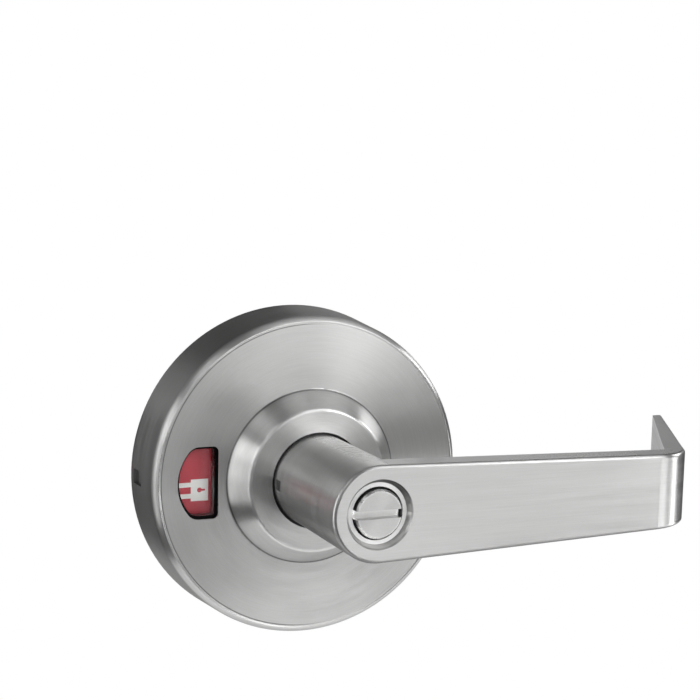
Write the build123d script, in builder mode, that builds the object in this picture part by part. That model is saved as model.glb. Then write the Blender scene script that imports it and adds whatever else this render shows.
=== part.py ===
"""Privacy lever lockset, outside unit: lever, rose with a locked and unlocked indicator,
and the cylindrical chassis that carries them in the door.

Millimetres. The origin is on the lever's axis at the outside face of the door, +Z is up,
-Y points out of the door and the lever points along +X. A depth is a distance out of the
door's face, so a piece inside the door has negative depths. An angle is counted from +X
towards +Z, as seen by someone who stands in front of the lever.
"""
from build123d import *
from math import asin, atan, cos, degrees, radians, sin, sqrt, tan
import os

os.makedirs("parts", exist_ok=True)

# Door that the lock is made for
door_thickness = 44.45
post_spacing = 69.85

# Fits
running_gap = 0.1
sliding_gap = 0.05
free_gap = 0.3

# Rose: a pressed cover with a dished face and a raised boss round the lever's neck
rose_foot_radius = 47.3
rose_draft = 1.25
rose_shoulder_depth = 17.5
rose_shoulder_width = 1.5
rose_shoulder_round = 3.2
rose_rim_depth = 18.5
rose_rim_round = 0.3
rose_inner_round = 1.2
rim_ring_width = 0.5
rim_ring_step = 0.25
rim_ring_round = 0.5
rose_wall = 1.2
dish_foot_radius = 25.2
dish_foot_depth = 18.5
boss_foot_round = 0.8
boss_radius = 20.4
boss_depth = 24.9
boss_round = 1.3
neck_hole_margin = 0.8
crimp_height = 4.2
crimp_length = 6.0
crimp_sink = 1.5
crimp_count = 2

# Indicator window in the rose: a D with its straight side towards the lever
window_margin = 6.9
window_clearance = 2.2
window_half_height = 10.3
window_arc_radius = 14.0
window_straight_corner = 1.6
lens_thickness = 1.9
lens_sink = 0.35
frame_wall = 1.4
frame_ledge = 0.8

# Lever: neck, tapered blade and a return that flares out past the blade's end
neck_radius = 13.1
lever_projection = 68.4
blade_thickness = 7.4
blade_corner = 94.65
blade_taper = 1.55
bend_radius = 15.0
inner_bend_radius = 4.0
return_flare = 26.8
return_taper = 3.1
return_root = 3.4
return_end_depth = 8.2
return_end_round = 1.2
return_break_blend = 60.0
lever_front_round = 1.0

# Coin turn in the lever's face
recess_radius = 9.4
recess_floor_radius = 8.3
recess_sink = 1.9
turn_hole_radius = 7.15
turn_radius = 6.6
turn_proud = 1.5
turn_length = 10.7
turn_chamfer = 0.45
turn_slot_width = 2.3
turn_slot_depth = 3.0
stem_radius = 4.0
stem_web = 4.0
clip_thickness = 0.8
clip_radius = 6.5
clip_bite = 0.7
socket_length = 6.0
bar_radius = 2.0
bar_half_flat = 1.5
bar_inside_end = 52.0

# Outer spindle, driven by the lever's neck
spindle_radius = 10.0
spindle_half_flat = 8.8
spindle_bore = 6.5
spindle_front = 50.0

# Lever catch and its release slot in the neck
catch_depth = 27.0
catch_half_length = 1.7
catch_half_height = 1.4
catch_sink = 0.6
catch_foot = 0.9
catch_travel = 2.6
leaf_thickness = 0.3
leaf_half_span = 9.0

# Plate and spring cage on the door's face, under the rose
plate_thickness = 2.0
post_radius = 4.4
post_bore = 2.1
post_length = 22.0
post_head_radius = 5.6
post_head = 1.6
cage_radius = 28.6
cage_wall = 1.8
cage_height = 8.6
cage_boss_radius = 2.4
cage_boss_circle = 25.2
cage_boss_angles = (170, 230, 310)
cover_thickness = 0.8
cover_hole = 12.6
screw_radius = 1.0
screw_head_radius = 2.1
screw_head = 0.8
collar_radius = 21.5
collar_wall = 1.2

# Return spring and the driver that loads it
driver_hub_radius = 13.8
driver_tab_radius = 24.9
driver_tab_half_angle = 7.0
driver_tab = 1.7
spring_wire = 0.9
spring_radius = 16.5
spring_pitch = 1.95
spring_turns = 2
spring_leg_end = 25.0
lever_range = 55

# Indicator wheel, its two labels and the arm that turns it
turn_range = 90
wheel_margin = 1.7
wheel_thickness = 1.1
label_margin = 1.3
label_half_angle = 24
label_thickness = 0.15
symbol_thickness = 0.1
arm_angle = -60
arm_half_width = 1.5
arm_thickness = 1.8
arm_radius = 24.6
finger_length = 2.0

# Bushing that steadies the neck under the rose's boss
bushing_length = 3.8

# Hubs, adjusting ring and chassis frame in the door
hub_radius = 18.0
hub_stand = 1.5
hub_flange_radius = 24.5
hub_flange = 2.2
ring_radius = 22.8
ring_length = 3.0
ring_notch = 4.0
chassis_radius = 25.4
chassis_length = 24.4
chassis_end_wall = 3.2
chassis_shell_sink = 0.3
hub_screw_circle = 21.4
hub_screw_radius = 1.5
hub_screw_head_radius = 2.7
hub_screw_head = 1.6
hub_screw_length = 3.0
hub_screw_angles = (45, 135, 225, 315)
spindle_clip_radius = 12.5
spindle_clip = 0.7

# Clutch that joins the lever to the drive when the lock is open
clutch_stroke = 2.0
clutch_bite = 1.6
dog_thickness = 2.6
dog_half_width = 2.45
dog_pin_circle = 5.2
dog_pin_radius = 0.45
dog_pin_length = 3.0
cam_base = 4.0
small_wire = 0.25
small_turns = 2.5
small_back_radius = 3.7
small_front_radius = 2.75

# Drive: the retractor cam and the inside spindle
drive_hub_radius = 9.9
drive_hub = 4.5
lobe_circle = 13.8
lobe_radius = 1.6
lobe_neck = 1.0
lobe_thickness = 3.6
nose_radius = 5.0
nose_bore = 2.6
inside_stand_out = 16.0

# Retractor, its springs and the keeper plate
retractor_half_height = 10.0
retractor_front = 21.2
retractor_back = 8.0
retractor_jaw = 1.6
jaw_half_slit = 3.2
lug_bottom = 11.2
lug_top = 15.4
lug_thickness = 3.6
lug_plate = 2.0
coil_circle = 1.6
coil_wire = 0.28
coil_height = 7.65
coil_pocket = 12.0
coil_turns = 11
keeper_thickness = 0.8
keeper_half_height = 11.4
keeper_half_slot = 4.5

# Radii that follow the rose's: its rim, the plate inside its skirt, the window and the wheel
rose_shoulder_radius = rose_foot_radius - rose_draft
rose_rim_radius = rose_shoulder_radius - rose_shoulder_width
face_rim_radius = rose_rim_radius - rim_ring_width
face_rim_depth = rose_rim_depth - rim_ring_step
plate_radius = rose_foot_radius - rose_draft * plate_thickness / rose_shoulder_depth - rose_wall - running_gap
neck_hole_radius = neck_radius + neck_hole_margin
window_radius = rose_shoulder_radius - window_margin
window_straight = dish_foot_radius + window_clearance
window_arc_corner = (window_radius - window_straight) / 3
wheel_radius = window_radius + wheel_margin
label_outer_radius = window_radius + label_margin
label_inner_radius = window_straight - label_margin

# Depths of the stack on the door's face, from the plate outwards
cage_top = plate_thickness + cage_height
cover_top = cage_top + cover_thickness
wheel_back = cover_top + running_gap
wheel_front = wheel_back + wheel_thickness
label_front = wheel_front + label_thickness
symbol_front = label_front + symbol_thickness
window_back = symbol_front + 0.45
arm_back = window_back
arm_front = arm_back + arm_thickness
collar_front = arm_back - free_gap
neck_end = arm_front + 3 * free_gap
turn_front = lever_projection - recess_sink + turn_proud
turn_back = turn_front - turn_length
web_front = turn_back - free_gap
web_back = web_front - stem_web
spindle_room = spindle_front + 2 * free_gap

# Depths of the pieces in the door, negative because they lie behind its face
frame_front = -(door_thickness - chassis_length) / 2
frame_back = frame_front - chassis_length
spindle_back = frame_front - 2.5
drive_front = spindle_back - free_gap
drive_back = drive_front - drive_hub
channel_front = frame_front - chassis_end_wall
channel_back = frame_back + chassis_end_wall
inside_hub_end = -door_thickness - hub_stand
inside_spindle_end = inside_hub_end - inside_stand_out
dog_back = drive_front + 0.4
dog_front = dog_back + dog_thickness
low_land = dog_front + dog_pin_length + sliding_gap + running_gap
high_land = low_land - clutch_stroke
lobe_rest_angle = 90 + lever_range / 2
retractor_travel = 2 * lobe_circle * sin(radians(lever_range / 2))

# Two planes carry every profile. FACE looks out of the door, its own x is X and its y is Z.
# AXIAL has the radius along its x and the depth along its y, for turned pieces.
FACE = Plane.XZ
AXIAL = Plane(origin=(0, 0, 0), x_dir=(1, 0, 0), z_dir=(0, 0, -1))


def tube(outer, inner, back, front, mode=Mode.ADD):
    """A tube or disc on the lever's axis between two depths."""
    with BuildSketch(FACE.offset(back)) as section:
        Circle(outer)
        if inner > 0:
            Circle(inner, mode=Mode.SUBTRACT)
    extrude(section.sketch, amount=front - back, mode=mode)


def flatted(radius, half_flat, back, front, mode=Mode.ADD):
    """A round bar with two flats, above and below the lever's axis."""
    with BuildSketch(FACE.offset(back)) as section:
        Circle(radius)
        Rectangle(2 * radius, 2 * half_flat, mode=Mode.INTERSECT)
    extrude(section.sketch, amount=front - back, mode=mode)


def turned(points, mode=Mode.ADD):
    """A solid turned about the lever's axis from (radius, depth) points."""
    with BuildSketch(AXIAL) as section:
        with BuildLine():
            Polyline(*points, close=True)
        make_face()
    revolve(section.sketch, axis=Axis.Y, mode=mode)


def sector(inner, outer, middle, half, back, front, mode=Mode.ADD):
    """A sector of a flat ring about the lever's axis."""
    low = radians(middle - half)
    high = radians(middle + half)
    with BuildSketch(FACE.offset(back)) as band:
        with BuildLine():
            CenterArc((0, 0), outer, middle - half, 2 * half)
            CenterArc((0, 0), inner, middle - half, 2 * half)
            for angle in (low, high):
                Line((inner * cos(angle), inner * sin(angle)), (outer * cos(angle), outer * sin(angle)))
        make_face()
    extrude(band.sketch, amount=front - back, mode=mode)


def block(x_low, x_high, back, front, z_low, z_high, angle=0, mode=Mode.ADD):
    """A block between limits in X, depth and Z, then turned to an angle about the axis."""
    middle = Location(((x_low + x_high) / 2, -(back + front) / 2, (z_low + z_high) / 2))
    with Locations(Location((0, 0, 0), (0, -angle, 0)) * middle):
        Box(x_high - x_low, front - back, z_high - z_low, mode=mode)


def rod(radius, x, z, back, front, mode=Mode.ADD):
    """A round rod or hole parallel to the lever's axis."""
    with BuildSketch(FACE.offset(back)) as section:
        with Locations((x, z)):
            Circle(radius)
    extrude(section.sketch, amount=front - back, mode=mode)


def around(radius, angle):
    """The X and Z of a point at a radius and angle about the lever's axis."""
    return radius * cos(radians(angle)), radius * sin(radians(angle))


def countersunk(x, z, head_depth, tip_depth, clearance=0, mode=Mode.ADD):
    """A small countersunk screw whose head is flush at one depth, or the hole for it."""
    way = 1 if tip_depth > head_depth else -1
    neck_depth = head_depth + way * screw_head
    with BuildSketch(AXIAL) as section:
        with BuildLine():
            Polyline(
                (0, head_depth),
                (screw_head_radius + clearance, head_depth),
                (screw_radius + clearance, neck_depth),
                (screw_radius + clearance, tip_depth + way * clearance),
                (0, tip_depth + way * clearance),
                close=True,
            )
        make_face()
    screw = revolve(section.sketch, axis=Axis.Y, mode=Mode.PRIVATE)
    add(screw.moved(Location((x, 0, z))), mode=mode)


def face_depth(radius):
    """The depth of the rose's dished face at a radius."""
    slope = (face_rim_depth - dish_foot_depth) / (face_rim_radius - dish_foot_radius)
    return dish_foot_depth + (radius - dish_foot_radius) * slope


def above_dish(sink, mode):
    """Everything in front of a cone that lies a distance under the rose's dished face."""
    near = dish_foot_radius - 4
    wide = rose_foot_radius + 4
    high = rose_rim_depth + 10
    turned([(near, face_depth(near) - sink), (wide, face_depth(wide) - sink), (wide, high), (near, high)], mode)


def window_shape(growth, back, front, mode=Mode.ADD):
    """The window's D outline, grown or shrunk, between two depths."""
    with BuildSketch(FACE.offset(back)) as outline:
        with Locations((window_arc_radius - window_radius, 0)):
            Circle(window_arc_radius + growth)
        with Locations((-window_straight + growth, 0)):
            Rectangle(
                window_radius,
                2 * (window_half_height + growth),
                align=(Align.MAX, Align.CENTER),
                mode=Mode.INTERSECT,
            )
        fillet(outline.vertices().sort_by(Axis.X)[-2:], window_straight_corner + growth)
        fillet(outline.vertices().sort_by(Axis.X)[:2], window_arc_corner + growth)
    extrude(outline.sketch, amount=front - back, mode=mode)


# The rose is pressed from one sheet. Two crimps near its foot snap over the plate.
boss_slope = (dish_foot_radius - boss_radius) / (boss_depth - dish_foot_depth)
slope_wall = rose_wall * sqrt(1 + boss_slope**2)
inner_boss_radius = boss_radius + rose_wall * boss_slope - slope_wall
inner_dish_radius = dish_foot_radius + rose_wall * boss_slope - slope_wall
inner_rim_depth = face_rim_depth - rose_wall
inner_rim_radius = rose_foot_radius - rose_draft * inner_rim_depth / rose_shoulder_depth - rose_wall
with BuildPart() as rose:
    with BuildSketch(AXIAL):
        with BuildLine():
            outside = FilletPolyline(
                (rose_foot_radius, 0),
                (rose_shoulder_radius, rose_shoulder_depth),
                (rose_rim_radius, rose_rim_depth),
                (face_rim_radius, face_rim_depth),
                (dish_foot_radius, dish_foot_depth),
                (boss_radius, boss_depth),
                (neck_hole_radius, boss_depth),
                radius=[rose_shoulder_round, rose_rim_round, rim_ring_round, boss_foot_round, boss_round],
            )
            inside = FilletPolyline(
                (rose_foot_radius - rose_wall, 0),
                (inner_rim_radius, inner_rim_depth),
                (inner_dish_radius, dish_foot_depth - rose_wall),
                (inner_boss_radius, boss_depth - rose_wall),
                (neck_hole_radius, boss_depth - rose_wall),
                radius=[rose_inner_round, boss_foot_round + rose_wall, boss_round - rose_wall],
            )
            Line(outside @ 0, inside @ 0)
            Line(outside @ 1, inside @ 1)
        make_face()
    revolve(axis=Axis.Y)
    window_shape(0, label_front, rose_rim_depth + 5, Mode.SUBTRACT)
    for number in range(crimp_count):
        side = 180 + number * 360 / crimp_count
        low = plate_thickness + sliding_gap
        outer_wall = rose_foot_radius - crimp_sink
        inner_wall = outer_wall - rose_wall
        block(inner_wall, outer_wall, low, low + crimp_length, -crimp_height / 2, crimp_height / 2, side)
        block(
            outer_wall, rose_foot_radius + 1, low, low + crimp_length,
            -crimp_height / 2, crimp_height / 2, side, Mode.SUBTRACT,
        )
rose.part.label = "rose"

# The window frame is glued behind the rose and holds the lens on a ledge.
lens_back = face_depth(window_straight) - lens_sink - lens_thickness
with BuildPart() as window_frame:
    window_shape(frame_wall, window_back, rose_rim_depth + 2)
    above_dish(rose_wall + sliding_gap, Mode.SUBTRACT)
    window_shape(0, lens_back, rose_rim_depth + 3, Mode.SUBTRACT)
    window_shape(-frame_ledge, window_back - 1, rose_rim_depth + 3, Mode.SUBTRACT)
window_frame.part.label = "window_frame"

with BuildPart() as window_lens:
    window_shape(-sliding_gap, lens_back, rose_rim_depth + 2)
    above_dish(lens_sink, Mode.SUBTRACT)
window_lens.part.label = "window_lens"

# The bushing fills the boss from inside and carries the neck.
bushing_front = boss_depth - rose_wall - sliding_gap
bushing_back = bushing_front - bushing_length
bushing_front_radius = boss_radius - rose_wall - free_gap
bushing_back_radius = bushing_front_radius + bushing_length * boss_slope
with BuildPart() as rose_bushing:
    turned([
        (neck_radius + running_gap, bushing_back),
        (bushing_back_radius, bushing_back),
        (bushing_front_radius, bushing_front),
        (neck_radius + running_gap, bushing_front),
    ])
rose_bushing.part.label = "rose_bushing"

# The lever is one casting: a round neck, a blade that tapers in height, and the return.
taper = radians(blade_taper)
flare = radians(return_flare)
inner_flare = radians(return_flare + return_taper)
blade_back = lever_projection - blade_thickness
outer_end = blade_corner + (lever_projection - return_end_depth) * tan(flare)
inner_corner = blade_corner - return_root
inner_end = inner_corner + (blade_back - return_end_depth) * tan(inner_flare)
outline_end = outer_end + 5
touch_x = neck_radius * sin(taper)
touch_z = neck_radius * cos(taper)
straight_from = blade_corner + bend_radius / 2
end_z = touch_z - (straight_from - touch_x) * tan(taper)
with BuildPart() as lever:
    with BuildSketch(AXIAL):
        with BuildLine():
            Polyline(
                (touch_x, blade_back), (inner_corner, blade_back), (inner_end, return_end_depth),
                (outer_end, return_end_depth), (blade_corner, lever_projection), (touch_x, lever_projection),
                close=True,
            )
        plan = make_face()
        outer_corner = plan.vertices().sort_by_distance((blade_corner, lever_projection, 0))[0]
        fillet(outer_corner, bend_radius)
        inside_corner = plan.vertices().sort_by_distance((inner_corner, blade_back, 0))[0]
        fillet(inside_corner, inner_bend_radius)
    extrude(amount=neck_radius + 1, both=True)
    with BuildSketch(FACE.offset(return_end_depth - 1)) as outline:
        with BuildLine():
            Polyline(
                (touch_x, -touch_z), (straight_from, -end_z), (outline_end, -end_z),
                (outline_end, end_z), (straight_from, end_z), (touch_x, touch_z), close=True,
            )
        make_face()
        breaks = [outline.vertices().sort_by_distance((straight_from, z, 0))[0] for z in (end_z, -end_z)]
        fillet(breaks, return_break_blend)
    extrude(amount=lever_projection, mode=Mode.INTERSECT)
    tube(neck_radius, 0, neck_end, lever_projection)
    end_face = lever.faces().filter_by(Axis.Y).sort_by_distance((outer_end, -return_end_depth, 0))[0]
    fillet(end_face.edges(), return_end_round)
    front_face = lever.faces().filter_by(Axis.Y).sort_by(Axis.Y)[0]
    front_rim = [edge for edge in front_face.edges() if abs(edge.center().Z) > 1 or edge.center().X < 0]
    fillet(front_rim, lever_front_round)
    turned([
        (0, lever_projection + 1),
        (recess_radius + (recess_radius - recess_floor_radius) / recess_sink, lever_projection + 1),
        (recess_floor_radius, lever_projection - recess_sink),
        (0, lever_projection - recess_sink),
    ], Mode.SUBTRACT)
    tube(turn_hole_radius, 0, web_front, lever_projection, Mode.SUBTRACT)
    tube(stem_radius + running_gap, 0, neck_end, lever_projection, Mode.SUBTRACT)
    tube(spindle_radius, 0, spindle_room, web_back, Mode.SUBTRACT)
    flatted(
        spindle_radius + sliding_gap, spindle_half_flat + sliding_gap,
        neck_end - 1, spindle_room, Mode.SUBTRACT,
    )
    block(
        -neck_radius - 1, -spindle_half_flat, catch_depth - catch_half_length - free_gap,
        catch_depth + catch_half_length + free_gap, -catch_half_height - running_gap,
        catch_half_height + running_gap, mode=Mode.SUBTRACT,
    )
lever.part.label = "lever"

# The coin turn stands a little proud of the recess. Its stem passes the web to the clip.
stem_back = spindle_front + running_gap
clip_front = web_back - running_gap
clip_back = clip_front - clip_thickness
with BuildPart() as turn_button:
    tube(turn_radius, 0, turn_back, turn_front)
    chamfer(turn_button.edges().sort_by(Axis.Y)[0], turn_chamfer)
    tube(stem_radius, 0, stem_back, turn_back)
    tube(stem_radius + 1, stem_radius - clip_bite, clip_back - sliding_gap, clip_front + sliding_gap, Mode.SUBTRACT)
    block(
        -turn_radius - 1, turn_radius + 1, turn_front - turn_slot_depth, turn_front + 1,
        -turn_slot_width / 2, turn_slot_width / 2, mode=Mode.SUBTRACT,
    )
    flatted(
        bar_radius + sliding_gap, bar_half_flat + sliding_gap,
        stem_back - 1, stem_back + socket_length, Mode.SUBTRACT,
    )
turn_button.part.label = "turn_button"

with BuildPart() as turn_clip:
    tube(clip_radius, stem_radius - clip_bite + sliding_gap, clip_back, clip_front)
    block(0, clip_radius + 1, clip_back - 1, clip_front + 1, -clip_bite * 3, clip_bite * 3, 90, Mode.SUBTRACT)
turn_clip.part.label = "turn_clip"

with BuildPart() as turn_bar:
    flatted(bar_radius, bar_half_flat, -bar_inside_end, stem_back + socket_length - free_gap)
turn_bar.part.label = "turn_bar"

# The outer spindle is slotted for the catch, for the indicator arm and for the clutch dog.
arm_edge = degrees(asin(arm_half_width / spindle_bore)) + 1.2
slot_half = (lever_range + turn_range) / 2 + arm_edge
slot_middle = arm_angle + (lever_range + turn_range) / 2
clip_gap_front = hub_stand + running_gap + spindle_clip
with BuildPart() as outer_spindle:
    flatted(spindle_radius, spindle_half_flat, spindle_back, spindle_front)
    tube(spindle_bore, 0, spindle_back - 1, spindle_front + 1, Mode.SUBTRACT)
    sector(
        spindle_bore - 1, spindle_radius + 1, slot_middle, slot_half,
        arm_back - free_gap, arm_front + free_gap, Mode.SUBTRACT,
    )
    block(
        -spindle_radius - 1, -spindle_bore + 1, catch_depth - catch_half_length - running_gap,
        catch_depth + catch_half_length + running_gap, -catch_half_height - running_gap,
        catch_half_height + running_gap, mode=Mode.SUBTRACT,
    )
    block(
        -dog_half_width - running_gap, dog_half_width + running_gap, spindle_back - 1,
        dog_front + free_gap, -spindle_radius, spindle_radius, mode=Mode.SUBTRACT,
    )
    tube(
        spindle_radius + 1, spindle_radius - clip_bite, hub_stand + sliding_gap,
        clip_gap_front + sliding_gap, Mode.SUBTRACT,
    )
outer_spindle.part.label = "outer_spindle"

with BuildPart() as spindle_clip_ring:
    tube(spindle_clip_radius, spindle_radius - clip_bite + sliding_gap, hub_stand + running_gap, clip_gap_front)
    block(0, spindle_clip_radius + 1, 0, plate_thickness + 1, -3, 3, 90, Mode.SUBTRACT)
spindle_clip_ring.part.label = "spindle_clip"

# The catch drops into the neck's slot. Pushed in with a pin, it lets the lever off.
foot_outer = sqrt(spindle_bore ** 2 - (catch_half_height + 1.2) ** 2) - sliding_gap
foot_inner = foot_outer - catch_foot
with BuildPart() as lever_catch:
    block(
        -neck_radius + catch_sink, -foot_outer, catch_depth - catch_half_length, catch_depth + catch_half_length,
        -catch_half_height, catch_half_height,
    )
    block(
        -foot_outer, -foot_inner, catch_depth - catch_half_length - 1.1, catch_depth + catch_half_length + 1.1,
        -catch_half_height - 1.2, catch_half_height + 1.2,
    )
lever_catch.part.label = "lever_catch"

# A bowed leaf spring spans the foot of the catch, its ends on the spindle's bore.
leaf_flat = catch_half_length + 1.6
leaf_bow = foot_inner - sliding_gap
leaf_end = sqrt(spindle_bore ** 2 - catch_half_height ** 2) - leaf_thickness - sliding_gap
with BuildPart() as lever_catch_spring:
    with BuildSketch(AXIAL):
        with BuildLine():
            Polyline(
                (-leaf_end, catch_depth - leaf_half_span),
                (-leaf_bow + leaf_thickness, catch_depth - leaf_flat),
                (-leaf_bow + leaf_thickness, catch_depth + leaf_flat),
                (-leaf_end, catch_depth + leaf_half_span),
                (-leaf_end - leaf_thickness, catch_depth + leaf_half_span),
                (-leaf_bow, catch_depth + leaf_flat),
                (-leaf_bow, catch_depth - leaf_flat),
                (-leaf_end - leaf_thickness, catch_depth - leaf_half_span),
                close=True,
            )
        make_face()
    extrude(amount=catch_half_height, both=True)
lever_catch_spring.part.label = "lever_catch_spring"

# The mounting plate lies on the door and is pierced for the hub and for its two posts.
post_places = [(0, post_spacing / 2), (0, -post_spacing / 2)]
boss_places = [around(cage_boss_circle, angle) for angle in cage_boss_angles]
with BuildPart() as rose_mounting_plate:
    tube(plate_radius, hub_radius + 2 * sliding_gap, 0, plate_thickness)
    for x, z in post_places:
        rod(post_radius + sliding_gap, x, z, -1, plate_thickness + 1, Mode.SUBTRACT)
    for x, z in boss_places:
        countersunk(x, z, 0, cage_top, sliding_gap, Mode.SUBTRACT)
rose_mounting_plate.part.label = "rose_mounting_plate"

with BuildPart() as mounting_posts:
    for x, z in post_places:
        rod(post_radius, x, z, -post_length, plate_thickness)
        rod(post_head_radius, x, z, plate_thickness, plate_thickness + post_head)
        rod(post_bore, x, z, -post_length - 1, plate_thickness, Mode.SUBTRACT)
mounting_posts.part.label = "mounting_posts"

# The cage is a ring with three screw bosses, an anchor for the spring and two lever stops.
tab_back = cage_top - 0.4 - driver_tab
leg_side = spring_wire + sliding_gap
finger_back = plate_thickness + 3.2
stop_half = 4.0
stop_gap = driver_tab_half_angle + 0.6 + stop_half
cage_bore = cage_radius - cage_wall
with BuildPart() as spring_cage:
    tube(cage_radius, cage_bore, plate_thickness, cage_top)
    for x, z in boss_places:
        rod(cage_boss_radius, x, z, plate_thickness, cage_top)
    block(leg_side, leg_side + 1.9, plate_thickness, finger_back - 0.2, spring_radius + 4, cage_bore + 0.4)
    for middle in (90 + stop_gap, 90 - lever_range - stop_gap):
        sector(driver_tab_radius - 3.5, cage_bore + 0.4, middle, stop_half, tab_back, cage_top)
    middle_depth = (plate_thickness + cage_top) / 2
    for x, z in boss_places:
        rod(screw_radius + sliding_gap, x, z, plate_thickness - 1, cage_top + 1, Mode.SUBTRACT)
spring_cage.part.label = "spring_cage"

with BuildPart() as cage_screws:
    for x, z in boss_places:
        countersunk(x, z, 0, middle_depth - 0.5)
cage_screws.part.label = "cage_screws"

with BuildPart() as cage_cover:
    tube(cage_radius - running_gap, cover_hole, cage_top, cover_top)
    tube(collar_radius, collar_radius - collar_wall, cover_top, collar_front)
    for x, z in boss_places:
        countersunk(x, z, cover_top, plate_thickness, sliding_gap, Mode.SUBTRACT)
cage_cover.part.label = "cage_cover"

with BuildPart() as cover_screws:
    for x, z in boss_places:
        countersunk(x, z, cover_top, middle_depth + 0.5)
cover_screws.part.label = "cover_screws"

# The driver is keyed to the spindle. Its finger pushes the spring's upper leg.
driver_back = clip_gap_front + running_gap
driver_front = cage_top - 0.4
with BuildPart() as spring_driver:
    tube(driver_hub_radius, 0, driver_back, driver_front)
    sector(
        driver_hub_radius - 1, driver_tab_radius, 90, driver_tab_half_angle, tab_back, driver_front,
    )
    block(-leg_side - 1.6, -leg_side, finger_back, tab_back, spring_radius + 4, driver_tab_radius - 0.4)
    flatted(
        spindle_radius + sliding_gap, spindle_half_flat + sliding_gap,
        driver_back - 1, driver_front + 1, Mode.SUBTRACT,
    )
spring_driver.part.label = "spring_driver"

# The return spring is a torsion spring. It is drawn with its legs down, then turned over.
coil_start = plate_thickness + free_gap + spring_wire
coil_rise = spring_pitch * spring_turns
with BuildPart() as spring_upside_down:
    with BuildLine() as coil_path:
        Helix(spring_pitch, coil_rise, spring_radius, (0, -coil_start, 0), (0, -1, 0), lefthand=True)
    with BuildSketch(Plane(origin=coil_path.line @ 0, z_dir=coil_path.line % 0)):
        Circle(spring_wire)
    sweep(is_frenet=True)
    for depth in (coil_start, coil_start + coil_rise):
        with BuildSketch(Plane.XY.offset(-spring_leg_end)):
            with Locations((0, -depth)):
                Circle(spring_wire)
        extrude(amount=spring_leg_end - spring_radius)
return_spring = spring_upside_down.part.rotate(Axis.Y, 180)
return_spring.label = "return_spring"

# The indicator wheel turns on the cover's collar. Its notch takes the arm's finger.
finger_inner = arm_radius - finger_length
with BuildPart() as indicator_wheel:
    tube(wheel_radius, collar_radius + running_gap, wheel_back, wheel_front)
    block(
        collar_radius - 1, arm_radius + free_gap, wheel_back - 1, wheel_front + 1,
        -arm_half_width - sliding_gap, arm_half_width + sliding_gap, arm_angle, Mode.SUBTRACT,
    )
indicator_wheel.part.label = "indicator_wheel"

with BuildPart() as red_label:
    sector(
        label_inner_radius, label_outer_radius, 180, label_half_angle, wheel_front, label_front,
    )
red_label.part.label = "red_label"

with BuildPart() as green_label:
    sector(
        label_inner_radius, label_outer_radius, 180 - turn_range, label_half_angle, wheel_front, label_front,
    )
green_label.part.label = "green_label"

# Both padlocks are drawn as they stand in the window. The open one then goes back a turn.
padlock_width = 5.0
padlock_height = 6.2
padlock_bar = 1.3
shackle_reach = 3.4
keyhole_radius = 0.7
locked_place = (-31.35, -2.9)
unlocked_place = (-30.7, 1.1)


def padlock(place, shackle_shift, closed):
    """A padlock on its side, with its shackle towards the window's arc."""
    x, z = place
    left = x - padlock_width / 2
    with BuildSketch(FACE.offset(label_front)) as drawing:
        with Locations(place):
            Rectangle(padlock_width, padlock_height)
            Circle(keyhole_radius, mode=Mode.SUBTRACT)
        with Locations((x + 0.9, z)):
            Rectangle(1.5, 0.6, mode=Mode.SUBTRACT)
        for side in (-1, 1):
            with Locations((left, z + shackle_shift + side * 1.6)):
                Rectangle(shackle_reach, padlock_bar, align=(Align.MAX, Align.CENTER))
        if closed:
            with Locations((left - shackle_reach + padlock_bar / 2, z + shackle_shift)):
                Rectangle(padlock_bar, 3.2)
    extrude(drawing.sketch, amount=symbol_thickness)


with BuildPart() as locked_symbol:
    padlock(locked_place, 0, False)
locked_symbol.part.label = "locked_symbol"

with BuildPart() as unlocked_symbol_in_window:
    padlock(unlocked_place, -2.5, True)
unlocked_symbol = unlocked_symbol_in_window.part.rotate(Axis.Y, turn_range)
unlocked_symbol.label = "unlocked_symbol"

# The arm is keyed to the turn bar and leaves the spindle through its long slot.
with BuildPart() as indicator_driver:
    tube(spindle_bore - free_gap, 0, arm_back, arm_front)
    block(0, arm_radius, arm_back, arm_front, -arm_half_width, arm_half_width, arm_angle)
    block(
        finger_inner, arm_radius, wheel_back + running_gap, arm_back,
        -arm_half_width, arm_half_width, arm_angle,
    )
    flatted(
        bar_radius + sliding_gap, bar_half_flat + sliding_gap, arm_back - 1, arm_front + 1, Mode.SUBTRACT,
    )
indicator_driver.part.label = "indicator_driver"

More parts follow.
